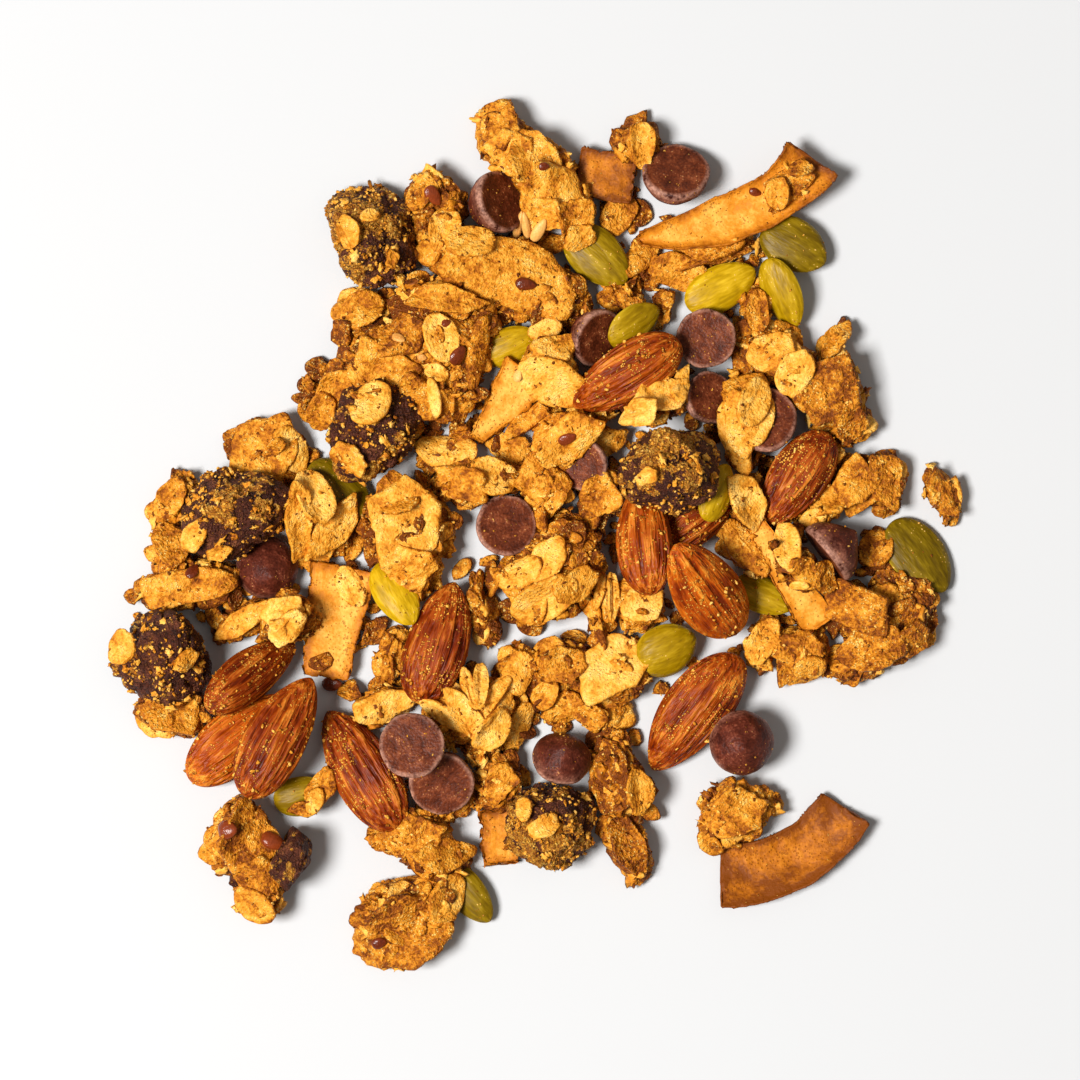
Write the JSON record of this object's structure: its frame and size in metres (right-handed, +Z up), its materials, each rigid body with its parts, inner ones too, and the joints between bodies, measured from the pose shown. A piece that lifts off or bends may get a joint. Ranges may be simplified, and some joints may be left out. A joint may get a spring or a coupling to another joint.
{
  "type": "granola heap",
  "caption": "Loose scattered heap of granola: crumbly oat clusters and flakes with almonds, chocolate drops, green pumpkin seeds and toasted coconut, lying flat on a surface",
  "frame": {"origin": "on the surface the heap lies on, under the middle of its outline", "axes": "+Z up; +X to the right and +Y to the top of the picture, which looks straight down"},
  "size_m": [0.1412, 0.1452, 0.0228],
  "materials": {
    "almond": "matte",
    "chocolate": "matte",
    "pumpkin_seed": "matte",
    "cocoa": "matte",
    "coconut": "matte",
    "oat": "matte"
  },
  "bodies": {
    "root": {"almond_right_under": "almond", "almond_left_low": "almond", "almond_bottom_mid": "almond", "almond_centre_left": "almond", "almond_centre_low": "almond", "almond_right_upper": "almond", "almond_left_upper": "almond", "almond_left_top": "almond", "almond_upper": "almond", "almond_centre_upright": "almond", "almond_centre_right": "almond", "chip_low_left": "chocolate", "chip_left": "chocolate", "chip_low_mid": "chocolate", "chip_low_right": "chocolate", "chip_right": "chocolate", "chip_top_right": "chocolate", "chip_hidden_mid": "chocolate", "chip_hidden_right": "chocolate", "chip_upper_mid": "chocolate", "chip_top_left": "chocolate", "chip_centre": "chocolate", "chip_upper_right": "chocolate", "chip_mid_right": "chocolate", "chip_low_left_top": "chocolate", "pumpkin_seed_top": "pumpkin_seed", "pumpkin_seed_top_right": "pumpkin_seed", "pumpkin_seed_upper_slim": "pumpkin_seed", "pumpkin_seed_upper_mid": "pumpkin_seed", "pumpkin_seed_left": "pumpkin_seed", "pumpkin_seed_right": "pumpkin_seed", "pumpkin_seed_low_left": "pumpkin_seed", "pumpkin_seed_low": "pumpkin_seed", "pumpkin_seed_low_right": "pumpkin_seed", "pumpkin_seed_mid_right": "pumpkin_seed", "pumpkin_seed_slim": "pumpkin_seed", "pumpkin_seed_centre": "pumpkin_seed", "pumpkin_seed_centre_left": "pumpkin_seed", "pumpkin_seed_upper_right": "pumpkin_seed", "cocoa_cluster_top_left": "cocoa", "cocoa_cluster_left": "cocoa", "cocoa_cluster_far_left": "cocoa", "cocoa_cluster_upper_left": "cocoa", "cocoa_cluster_low": "cocoa", "cocoa_cluster_centre": "cocoa", "coconut_arc": "coconut", "coconut_square": "coconut", "coconut_base_low": "coconut", "coconut_trapeze": "coconut", "coconut_wedge": "coconut", "coconut_slim": "coconut", "coconut_long": "coconut", "oat_heap": "oat", "low_left_cluster": "oat", "low_cluster": "oat", "low_right_cluster": "oat", "right_crumb": "oat"}
  },
  "joints": []
}
